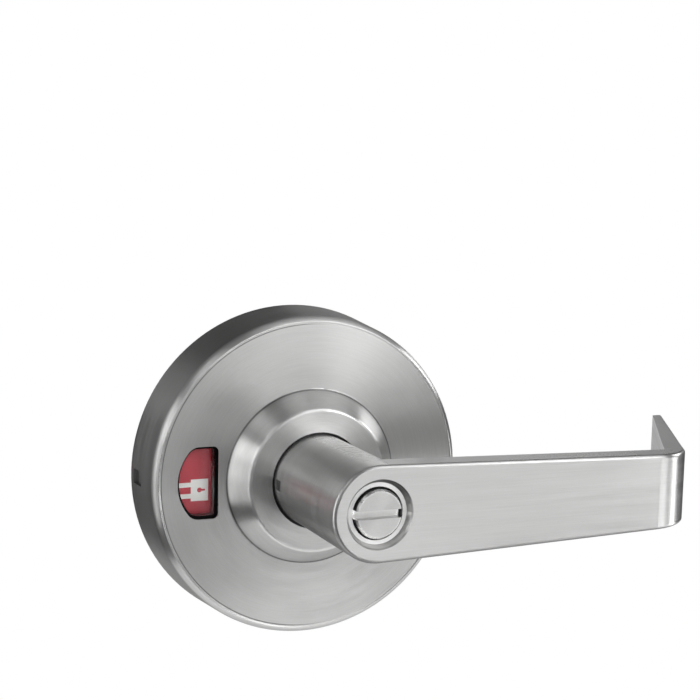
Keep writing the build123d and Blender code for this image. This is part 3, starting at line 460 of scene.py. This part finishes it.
def rose_light_and_shade(tree, place):
    """Painted shade: the skirt gets a darker base colour than the turned face. The boss is painted
    lighter."""
    depth = split(tree, place)[1]
    skirt_shade = spread(tree, depth, face_starts, skirt_ends, face_tone, skirt_shade_tone)
    return plus(tree, skirt_shade, spread(tree, depth, boss_starts, boss_ends, boss_gain, 0.0))


def dress(finish, *names):
    """Put a finish on nodes of the part."""
    for name in names:
        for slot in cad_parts[name].material_slots:
            slot.material = finish


rose_satin = satin_metal(
    "rose_satin_nickel", tint=0.4, roughness=0.36, anisotropy=0.88, line_width=0.00025,
    line_length=0.012, edge_of=rose_edges, light_and_shade_of=rose_light_and_shade, path_of=ring_path,
    tangent_of=round_the_axis, crease_shade_of=rose_crease_shade)
dress(rose_satin, "rose")

# The lever is one casting, satin nickel like the rose. Its neck is brushed round, its blade
# and return lengthwise. It is pushed on the spindle until the catch snaps into its slot.
blade_face, neck_starts = -0.0680, -0.0676
neck_radius, blade_root_radius, neck_grain_radius = 0.01316, 0.0133, 0.013
blade_half_height, blade_taper = 0.01310, 0.02706
# The recess's corner, and how far the painted shade there is pushed off.
recess_radius, recess_shade_offset = 0.0083, 0.00018
return_starts, return_inside = 0.070, 0.080
# How much darker the return's inner wall and the underside are painted, and how much lighter the
# neck.
return_shade, neck_gain, underside_shade = 0.45, 0.38, 0.35
faces_inward, faces_aside = -0.7, -0.4
faces_down, faces_level = -0.65, -0.15


def is_neck(tree, place):
    """1 on the round neck behind the blade, 0 on the blade and the return."""
    behind = spread(tree, split(tree, place)[1], blade_face, neck_starts)
    within = spread(
        tree, axis_radius(tree, place), neck_radius, blade_root_radius, 1.0, 0.0)
    return times(tree, behind, within)


def lever_path(tree, place):
    """Grain that runs round the neck, and lengthwise on the blade and the return."""
    x, y, z = split(tree, place)
    neck = is_neck(tree, place)
    aside, upright = out_from_the_axis(tree, place)
    round_it = (y, times(tree, aside, neck_grain_radius), times(tree, upright, neck_grain_radius))
    mixed = []
    for on_neck, on_blade in zip(round_it, (z, x, y)):
        change = minus(tree, on_neck, on_blade)
        mixed.append(plus(tree, on_blade, times(tree, change, neck)))
    return gather(tree, *mixed)


def lever_tangent(tree, place):
    """The direction of the brush lines. A Mix node keeps its vectors in inputs 4 and 5."""
    blend = tree.nodes.new("ShaderNodeMix")
    blend.data_type = "VECTOR"
    tree.links.new(is_neck(tree, place), blend.inputs[0])
    blend.inputs[4].default_value = (1.0, 0.0, 0.0)
    tree.links.new(round_the_axis(tree, place), blend.inputs[5])
    return blend.outputs[1]


def lever_edges(tree, place):
    """How far a point lies from the blade's long edges."""
    x, _, z = split(tree, place)
    half = minus(tree, blade_half_height, times(tree, x, blade_taper))
    return minus(tree, calc(tree, "ABSOLUTE", z), half)


def lever_recess_shade(tree, place):
    """How far a point lies from the corner of the coin turn's recess, pushed off a little so that
    the painted shade there stays faint.
    """
    return plus(tree, nearest(tree, axis_radius(tree, place), recess_radius), recess_shade_offset)


def lever_light_and_shade(tree, place):
    """Painted shade: the return's inner wall and the faces turned downwards get a darker base
    colour. The neck is painted lighter all round."""
    facing = split(tree, tree.nodes.new("ShaderNodeTexCoord").outputs["Normal"])
    inward = spread(tree, facing[0], faces_inward, faces_aside, 1.0, 0.0)
    under = spread(tree, facing[2], faces_down, faces_level, to_low=underside_shade)
    far_out = spread(tree, split(tree, place)[0], return_starts, return_inside)
    shaded = minus(tree, 1.0, times(tree, times(tree, inward, far_out), return_shade))
    shaded = plus(tree, shaded, times(tree, is_neck(tree, place), neck_gain))
    return times(tree, shaded, under)


lever_satin = satin_metal(
    "lever_satin_nickel", tint=0.7, roughness=0.33, anisotropy=0.75, line_width=0.00022,
    line_length=0.02, edge_of=lever_edges, light_and_shade_of=lever_light_and_shade, path_of=lever_path,
    tangent_of=lever_tangent, crease_shade_of=lever_recess_shade)
dress(lever_satin, "lever")

# The coin turn is turned from bar, slotted for a coin and satin finished. A spring clip holds
# it in the lever's web, and a flatted brass bar takes its turn through the whole lock.
button_edge_radius = 0.0064
# Where the slot's floor lies, and how much lighter it is painted.
slot_top, slot_floor, slot_light_gain = -0.0656, -0.0651, 1.35


def button_edges(tree, place):
    """How far a point lies from the coin turn's rounded edge."""
    return nearest(tree, axis_radius(tree, place), button_edge_radius)


def slot_painted_light(tree, place):
    """Painted light: the slot's floor, which its walls shade, gets a lighter base colour."""
    return spread(tree, split(tree, place)[1], slot_top, slot_floor, 1.0, slot_light_gain)


turn_satin = satin_metal(
    "turn_satin_nickel", tint=0.7, roughness=0.33, anisotropy=0.6, line_width=0.0002,
    line_length=0.006, edge_of=button_edges, light_and_shade_of=slot_painted_light, path_of=ring_path,
    tangent_of=round_the_axis)
dress(turn_satin, "turn_button")

# worn_corners: 1 along a part's corners, found from how the surface bends within a reach in
# metres, and broken up by a fine noise.
bent, flat = 0.90, 0.99
chip_starts, chip_full, chip_wear = 0.3, 0.6, 0.35
bevel_samples = 4
worn_corners, given, made = new_group(
    "worn_corners", [("Place", "NodeSocketVector", None), ("Reach", "NodeSocketFloat", 0.0003)],
    [("Wear", "NodeSocketFloat")])
softened = worn_corners.nodes.new("ShaderNodeBevel")
softened.samples = bevel_samples
worn_corners.links.new(given["Reach"], softened.inputs["Radius"])
facing = worn_corners.nodes.new("ShaderNodeNewGeometry").outputs["Normal"]
bend = worn_corners.nodes.new("ShaderNodeVectorMath")
bend.operation = "DOT_PRODUCT"
worn_corners.links.new(softened.outputs[0], bend.inputs[0])
worn_corners.links.new(facing, bend.inputs[1])
chips = noise(worn_corners, given["Place"], scale=900.0, detail=3.0, rough=0.6)
broken = spread(worn_corners, chips, chip_starts, chip_full, to_low=chip_wear)
turned = spread(worn_corners, bend.outputs["Value"], bent, flat, 1.0, 0.0)
worn_corners.links.new(times(worn_corners, turned, broken), made["Wear"])

# surface_cloud: broad patches and a fine grain for plated, cast, drawn and moulded parts. The
# stretch draws both out along an axis.
patch_share, grain_share = 0.4, 0.6
patch_starts, patch_full = 0.35, 0.65
surface_cloud, given, made = new_group(
    "surface_cloud",
    [("Place", "NodeSocketVector", None), ("Patch Scale", "NodeSocketFloat", 120.0),
     ("Grain Scale", "NodeSocketFloat", 2500.0), ("Stretch", "NodeSocketVector", (1.0, 1.0, 1.0))],
    [("Patch", "NodeSocketFloat"), ("Grain", "NodeSocketFloat"), ("Height", "NodeSocketFloat")])
drawn = calc_vector(surface_cloud, "MULTIPLY", given["Place"], given["Stretch"])
broad_noise = noise(surface_cloud, drawn, given["Patch Scale"], detail=3.0, rough=0.55)
fine_noise = noise(surface_cloud, drawn, given["Grain Scale"], detail=3.0, rough=0.6)
patches = spread(surface_cloud, broad_noise, patch_starts, patch_full)
grains = spread(surface_cloud, fine_noise, dark_noise, light_noise)
height = plus(
    surface_cloud, times(surface_cloud, patches, patch_share),
    times(surface_cloud, grains, grain_share))
surface_cloud.links.new(patches, made["Patch"])
surface_cloud.links.new(grains, made["Grain"])
surface_cloud.links.new(height, made["Height"])

dark_speck, light_speck = 0.95, 1.05
rough_patch, smooth_patch, grain_roughness, corner_polish = 0.06, 0.05, 0.03, 0.1
shop_relief = 0.5


def shop_finish(name, dull, bright, roughness, metallic, patch_scale, grain_scale, relief_depth,
                reach, stretch=(1.0, 1.0, 1.0), wear_gain=0.3, coat=0.0):
    """A workshop finish: two colours in patches, a grain, and corners rubbed brighter."""
    finish, tree, shader = new_finish(name)
    place = tree.nodes.new("ShaderNodeTexCoord").outputs["Object"]
    cloud = use_group(
        tree, surface_cloud, Place=place, Patch_Scale=patch_scale, Grain_Scale=grain_scale,
        Stretch=stretch)
    wear = use_group(tree, worn_corners, Place=place, Reach=reach)["Wear"]
    speckle = spread(tree, cloud["Grain"], 0.0, 1.0, dark_speck, light_speck, smooth=False)
    lift = plus(tree, times(tree, wear, wear_gain), speckle)
    channels = []
    for low, high in zip(dull, bright):
        colour = spread(tree, cloud["Patch"], 0.0, 1.0, low, high, smooth=False)
        channels.append(times(tree, colour, lift))
    tree.links.new(gather(tree, *channels), shader.inputs["Base Color"])
    patchy = spread(
        tree, cloud["Patch"], 0.0, 1.0, roughness + rough_patch, roughness - smooth_patch,
        smooth=False)
    grainy = spread(
        tree, cloud["Grain"], 0.0, 1.0, -grain_roughness, grain_roughness, smooth=False)
    rough = minus(tree, plus(tree, patchy, grainy), times(tree, wear, corner_polish))
    tree.links.new(rough, shader.inputs["Roughness"])
    shader.inputs["Metallic"].default_value = metallic
    shader.inputs["Coat Weight"].default_value = coat
    add_relief(tree, shader, cloud["Height"], strength=shop_relief, distance=relief_depth)
    return finish


clip_steel = shop_finish(
    "phosphated_clip_steel", dull=(0.16, 0.16, 0.17), bright=(0.22, 0.22, 0.23), roughness=0.42,
    metallic=1.0, patch_scale=300.0, grain_scale=4000.0, relief_depth=0.00002, reach=0.00015)
dress(clip_steel, "turn_clip", "spindle_clip", "inside_spindle_clip")
drawn_brass = shop_finish(
    "drawn_brass", dull=(0.50, 0.36, 0.15), bright=(0.62, 0.46, 0.20), roughness=0.30,
    metallic=1.0, patch_scale=160.0, grain_scale=2600.0, relief_depth=0.00001, reach=0.0002,
    stretch=(1.0, 0.06, 1.0))
dress(drawn_brass, "turn_bar")

# The window is a black moulded frame glued behind the rose, with a clear lens on its ledge. The
# lens is thick enough to end just under the rose's face.
black_plastic = shop_finish(
    "moulded_black_plastic", dull=(0.012, 0.012, 0.013), bright=(0.020, 0.020, 0.021),
    roughness=0.22, metallic=0.0, patch_scale=200.0, grain_scale=3000.0, relief_depth=0.00001,
    reach=0.0002, wear_gain=0.8)
dress(black_plastic, "window_frame")

clearest, haziest = 0.01, 0.04
lens_finish, tree, shader = new_finish("clear_lens")
place = tree.nodes.new("ShaderNodeTexCoord").outputs["Object"]
shader.inputs["Base Color"].default_value = (0.97, 0.98, 0.98, 1.0)
shader.inputs["Metallic"].default_value = 0.0
shader.inputs["Transmission Weight"].default_value = 1.0
shader.inputs["IOR"].default_value = 1.49
shader.inputs["Specular IOR Level"].default_value = 0.05
shader.inputs["Specular Tint"].default_value = (0.2, 0.2, 0.2, 1.0)
haze = use_group(tree, touch_marks, Place=place)["Smudge"]
tree.links.new(
    spread(tree, haze, 0.0, 1.0, clearest, haziest, smooth=False), shader.inputs["Roughness"])
add_relief(tree, shader, noise(tree, place, scale=300.0), strength=0.1, distance=0.00002)
clear_way = tree.nodes.new("ShaderNodeBsdfTransparent")
lamp_ray = tree.nodes.new("ShaderNodeLightPath").outputs["Is Shadow Ray"]
through = tree.nodes.new("ShaderNodeMixShader")
tree.links.new(lamp_ray, through.inputs["Fac"])
tree.links.new(shader.outputs[0], through.inputs[1])
tree.links.new(clear_way.outputs[0], through.inputs[2])
tree.links.new(through.outputs[0], tree.nodes["Material Output"].inputs["Surface"])
dress(lens_finish, "window_lens")

# The indicator wheel is moulded in light grey plastic. Its two printed films, red and green,
# carry a closed and an open padlock, and turn behind the window with the coin turn.
wheel_plastic = shop_finish(
    "moulded_grey_plastic", dull=(0.66, 0.66, 0.63), bright=(0.72, 0.72, 0.69), roughness=0.45,
    metallic=0.0, patch_scale=90.0, grain_scale=2200.0, relief_depth=0.00002, reach=0.0003,
    wear_gain=0.08)
dress(wheel_plastic, "indicator_wheel")


def printed_film(name, thin, full):
    """A printed film: ink that lies a little unevenly, under a thin gloss coat."""
    finish = shop_finish(
        name, dull=thin, bright=full, roughness=0.38, metallic=0.0, patch_scale=220.0,
        grain_scale=5000.0, relief_depth=0.000008, reach=0.0001, wear_gain=0.1, coat=0.1)
    shader = finish.node_tree.nodes["Principled BSDF"]
    shader.inputs["Coat Roughness"].default_value = 0.12
    shader.inputs["Specular IOR Level"].default_value = 0.2
    return finish


red_print = printed_film("red_print", thin=(0.44, 0.045, 0.062), full=(0.50, 0.052, 0.072))
dress(red_print, "red_label")
green_print = printed_film("green_print", thin=(0.012, 0.30, 0.14), full=(0.016, 0.34, 0.165))
dress(green_print, "green_label")
grey_print = printed_film("grey_print", thin=(0.74, 0.72, 0.70), full=(0.80, 0.78, 0.76))
dress(grey_print, "locked_symbol", "unlocked_symbol")

# A black nylon bushing under the rose's boss steadies the neck. The arm that drives the wheel,
# the spring's cage and driver, the cams, the clutch's dog and the retractor are zinc castings.
black_nylon = shop_finish(
    "black_nylon", dull=(0.020, 0.020, 0.021), bright=(0.030, 0.030, 0.031), roughness=0.55,
    metallic=0.0, patch_scale=140.0, grain_scale=1800.0, relief_depth=0.00003, reach=0.0003,
    wear_gain=0.9)
dress(black_nylon, "rose_bushing")
cast_zinc = shop_finish(
    "cast_zinc", dull=(0.36, 0.36, 0.365), bright=(0.47, 0.47, 0.465), roughness=0.46,
    metallic=1.0, patch_scale=110.0, grain_scale=1500.0, relief_depth=0.00006, reach=0.0004)
dress(
    cast_zinc, "indicator_driver", "spring_cage", "spring_driver", "lock_cam", "clutch_dog",
    "retractor_cam", "retractor")

# The plate on the door is stamped from zinc plated steel, and so are the cage's cover, the
# posts riveted in the plate and the keeper that the latch hooks into.
zinc_plate = shop_finish(
    "zinc_plated_steel", dull=(0.50, 0.50, 0.53), bright=(0.62, 0.61, 0.56), roughness=0.34,
    metallic=1.0, patch_scale=70.0, grain_scale=1100.0, relief_depth=0.00002, reach=0.0004)
dress(zinc_plate, "rose_mounting_plate", "mounting_posts", "cage_cover", "latch_keeper")

# The screws are zinc plated steel with a crossed recess. Three countersunk ones hold the cage
# to the plate, three its cover, and eight with pan heads hold the hubs to the chassis.
screw_steel = shop_finish(
    "zinc_plated_screw", dull=(0.46, 0.46, 0.49), bright=(0.60, 0.59, 0.54), roughness=0.30,
    metallic=1.0, patch_scale=260.0, grain_scale=3500.0, relief_depth=0.00001, reach=0.0002)
screw_sides = 28
thread_pitch, thread_root = 0.0005, 0.84
recess_arm_width, recess_mouth, recess_bottom, recess_proud = 0.24, 1.05, 0.55, 0.0002


def ridged(radius, start, end):
    """The outline of a threaded stretch between two places along a screw."""
    points = []
    for number in range(int((start - end) / thread_pitch)):
        top = start - number * thread_pitch
        points += [(radius, top), (radius * thread_root, top - thread_pitch / 2)]
    return points


def closed_piece(name, form):
    """A linked object from mesh code, its faces turned outwards."""
    bmesh.ops.recalc_face_normals(form, faces=form.faces)
    mesh = bpy.data.meshes.new(name)
    form.to_mesh(mesh)
    form.free()
    piece = bpy.data.objects.new(name, mesh)
    scene.collection.objects.link(piece)
    return piece


def make_plain(piece):
    """Turn a piece and its modifiers into a plain mesh."""
    bpy.context.view_layer.update()
    finished = piece.evaluated_get(bpy.context.evaluated_depsgraph_get())
    ready = bpy.data.meshes.new_from_object(finished)
    piece.modifiers.clear()
    piece.data = ready


def turned_blank(name, outline):
    """A round blank from its outline, each point (radius, out), from tip to head."""
    form = bmesh.new()
    turns = [2 * math.pi * number / screw_sides for number in range(screw_sides)]
    rings = []
    for radius, out in outline:
        if radius == 0:
            rings.append([form.verts.new((0, -out, 0))])
        else:
            rings.append([
                form.verts.new((radius * math.cos(t), -out, radius * math.sin(t)))
                for t in turns])
    for low, high in zip(rings, rings[1:]):
        for number in range(screw_sides):
            after = (number + 1) % screw_sides
            if len(low) == 1:
                form.faces.new((low[0], high[number], high[after]))
            elif len(high) == 1:
                form.faces.new((low[number], high[0], low[after]))
            else:
                form.faces.new((low[number], high[number], high[after], low[after]))
    return closed_piece(name, form)


def crossed_tool(name, face, arm, depth):
    """The tapered cross that is cut out of a screw's head."""
    half = arm * recess_arm_width
    cross = [
        (half, arm), (half, half), (arm, half), (arm, -half), (half, -half), (half, -arm),
        (-half, -arm), (-half, -half), (-arm, -half), (-arm, half), (-half, half), (-half, arm)]
    form = bmesh.new()
    upper = [
        form.verts.new((x * recess_mouth, -face - recess_proud, z * recess_mouth))
        for x, z in cross]
    lower = [
        form.verts.new((x * recess_bottom, -face + depth, z * recess_bottom)) for x, z in cross]
    form.faces.new(upper)
    form.faces.new(list(reversed(lower)))
    for number in range(len(cross)):
        after = (number + 1) % len(cross)
        form.faces.new((upper[number], upper[after], lower[after], lower[number]))
    return closed_piece(name, form)


def one_screw(name, outline, arm, depth):
    """A round screw from its outline, with a crossed recess in its head."""
    screw = turned_blank(name, outline)
    recess = crossed_tool(name + "_recess", outline[-1][1], arm, depth)
    cut = screw.modifiers.new("recess", "BOOLEAN")
    cut.operation = "DIFFERENCE"
    cut.solver = "EXACT"
    cut.object = recess
    make_plain(screw)
    bpy.data.objects.remove(recess)
    return screw


# screws_on_seats: the same screw on each seat, a point whose turn attribute says how it faces.
screws_on_seats = bpy.data.node_groups.new("screws_on_seats", "GeometryNodeTree")


def seats_input(label, kind):
    return screws_on_seats.interface.new_socket(label, in_out="INPUT", socket_type=kind)


seats_input("Seats", "NodeSocketGeometry")
screw_socket = seats_input("One Screw", "NodeSocketObject")
size_socket = seats_input("Screw Size", "NodeSocketFloat")
steel_socket = seats_input("Steel", "NodeSocketMaterial")
screws_on_seats.interface.new_socket(
    "Screws", in_out="OUTPUT", socket_type="NodeSocketGeometry")
steps, wires = screws_on_seats.nodes, screws_on_seats.links
source = steps.new("NodeGroupInput")
pattern = steps.new("GeometryNodeObjectInfo")
heading = steps.new("GeometryNodeInputNamedAttribute")
heading.data_type = "FLOAT_VECTOR"
heading.inputs["Name"].default_value = "turn"
placed = steps.new("GeometryNodeInstanceOnPoints")
merged = steps.new("GeometryNodeRealizeInstances")
painted = steps.new("GeometryNodeSetMaterial")
result = steps.new("NodeGroupOutput")
wires.new(source.outputs["One Screw"], pattern.inputs["Object"])
wires.new(source.outputs["Seats"], placed.inputs["Points"])
wires.new(pattern.outputs["Geometry"], placed.inputs["Instance"])
wires.new(heading.outputs["Attribute"], placed.inputs["Rotation"])
wires.new(source.outputs["Screw Size"], placed.inputs["Scale"])
wires.new(placed.outputs["Instances"], merged.inputs["Geometry"])
wires.new(merged.outputs["Geometry"], painted.inputs["Geometry"])
wires.new(source.outputs["Steel"], painted.inputs["Material"])
wires.new(painted.outputs["Geometry"], result.inputs["Screws"])


def set_of_screws(node, screw, seats):
    """Screws on seats, each (x, y, z, turn about the upright), in place of a node of the part."""
    points = bpy.data.meshes.new(node + "_set")
    points.from_pydata([seat[:3] for seat in seats], [], [])
    facing = points.attributes.new("turn", "FLOAT_VECTOR", "POINT")
    for number, seat in enumerate(seats):
        facing.data[number].vector = (0.0, 0.0, seat[3])
    piece = bpy.data.objects.new(node + "_set", points)
    scene.collection.objects.link(piece)
    laid = piece.modifiers.new("screws", "NODES")
    laid.node_group = screws_on_seats
    laid[screw_socket.identifier] = screw
    laid[size_socket.identifier] = 1.0
    laid[steel_socket.identifier] = screw_steel
    make_plain(piece)
    bpy.data.objects.remove(screw)
    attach(piece, "rose_and_chassis")
    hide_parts(node)


def on_circle(radius, angles, y, turn):
    """Seats on a circle round the lever's axis, at angles in degrees."""
    return [
        (radius * math.cos(math.radians(a)), y, radius * math.sin(math.radians(a)), turn)
        for a in angles]


outwards, inwards = 0.0, math.pi
tip_radius, thread_radius, head_radius = 0.0007, 0.001, 0.0021
thread_starts, head_starts, head_edge = -0.0012, -0.0008, -0.00004


def countersunk(name, tip, thread_ends):
    """A countersunk screw, with its places measured from the face of its head."""
    thread = ridged(thread_radius, thread_starts, thread_ends)[::-1]
    head = [(thread_radius, head_starts), (head_radius, head_edge), (head_radius, 0), (0, 0)]
    return one_screw(name, [(0, tip), (tip_radius, tip)] + thread + head, arm=0.0012, depth=0.0007)


boss_circle, boss_angles, cover_face = 0.0252, (170, 230, 310), -0.0114
long_screw = countersunk("cage_screw", tip=-0.0058, thread_ends=-0.0052)
set_of_screws("cage_screws", long_screw, on_circle(boss_circle, boss_angles, 0.0, inwards))
short_screw = countersunk("cover_screw", tip=-0.0046, thread_ends=-0.0042)
set_of_screws(
    "cover_screws", short_screw, on_circle(boss_circle, boss_angles, cover_face, outwards))

pan_thread_radius, pan_tip_radius, pan_tip = 0.0015, 0.0012, -0.003
pan_thread_starts, pan_thread_ends = -0.0005, -0.0028
pan_head = [
    (pan_thread_radius, 0), (0.0027, 0), (0.0027, 0.0009), (0.0025, 0.0013), (0.0019, 0.00157),
    (0, 0.0016)]
pan_thread = ridged(pan_thread_radius, pan_thread_starts, pan_thread_ends)[::-1]
pan_screw = one_screw(
    "hub_screw", [(0, pan_tip), (pan_tip_radius, pan_tip)] + pan_thread + pan_head, arm=0.0016,
    depth=0.0009)
hub_circle, hub_angles = 0.0214, (45, 135, 225, 315)
outside_hub_face, inside_hub_face = 0.007825, 0.036625
set_of_screws(
    "hub_screws", pan_screw,
    on_circle(hub_circle, hub_angles, outside_hub_face, outwards)
    + on_circle(hub_circle, hub_angles, inside_hub_face, inwards))

# The springs are wound from oiled spring wire: the large torsion spring in the cage, the two
# that push the retractor out, the clutch's, and the flat leaf behind the catch.
spring_wire = shop_finish(
    "oiled_spring_wire", dull=(0.20, 0.20, 0.215), bright=(0.32, 0.32, 0.325), roughness=0.28,
    metallic=1.0, patch_scale=420.0, grain_scale=5200.0, relief_depth=0.000008, reach=0.0001,
    coat=0.25)
dress(spring_wire, "return_spring")
same_corner = 0.000001


def pressed_spring(node):
    """A copy of a CAD spring with its corners joined, put in place of the CAD node."""
    form = bmesh.new()
    form.from_mesh(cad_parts[node].data)
    bmesh.ops.remove_doubles(form, verts=form.verts, dist=same_corner)
    mesh = bpy.data.meshes.new("pressed_" + node)
    form.to_mesh(mesh)
    form.free()
    mesh.shade_smooth()
    mesh.materials.append(spring_wire)
    piece = bpy.data.objects.new("pressed_" + node, mesh)
    scene.collection.objects.link(piece)
    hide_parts(node)
    return piece


retractor_pair = pressed_spring("retractor_springs")
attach(retractor_pair, "rose_and_chassis")
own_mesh(retractor_pair)
clutch_coil = pressed_spring("clutch_spring")
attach(clutch_coil, "drive")
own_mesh(clutch_coil)
catch_leaf = pressed_spring("lever_catch_spring")
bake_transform(catch_leaf)

# The two spindles are flatted steel tubes, zinc plated, with draw lines along them. The catch
# is a small steel block that shows in the neck's slot.
drawn_tube = shop_finish(
    "drawn_zinc_plated_tube", dull=(0.48, 0.48, 0.51), bright=(0.60, 0.59, 0.55),
    roughness=0.32, metallic=1.0, patch_scale=160.0, grain_scale=2400.0, relief_depth=0.000015,
    reach=0.0003, stretch=(1.0, 0.05, 1.0))
dress(drawn_tube, "outer_spindle", "inside_spindle")
catch_steel = shop_finish(
    "catch_steel", dull=(0.34, 0.34, 0.345), bright=(0.42, 0.42, 0.42), roughness=0.36,
    metallic=1.0, patch_scale=300.0, grain_scale=3600.0, relief_depth=0.00001, reach=0.0002)
dress(catch_steel, "lever_catch")

# The chassis sits in the door's bore: a cast drum with the retractor's channel, a hub screwed
# on each end and a notched ring that sets its depth. All are zinc castings, tumbled and plated.
plated_casting = shop_finish(
    "plated_zinc_casting", dull=(0.42, 0.42, 0.44), bright=(0.55, 0.54, 0.50), roughness=0.38,
    metallic=1.0, patch_scale=60.0, grain_scale=900.0, relief_depth=0.00005, reach=0.0006)
dress(plated_casting, "chassis_frame", "outside_hub", "inside_hub", "adjusting_ring")
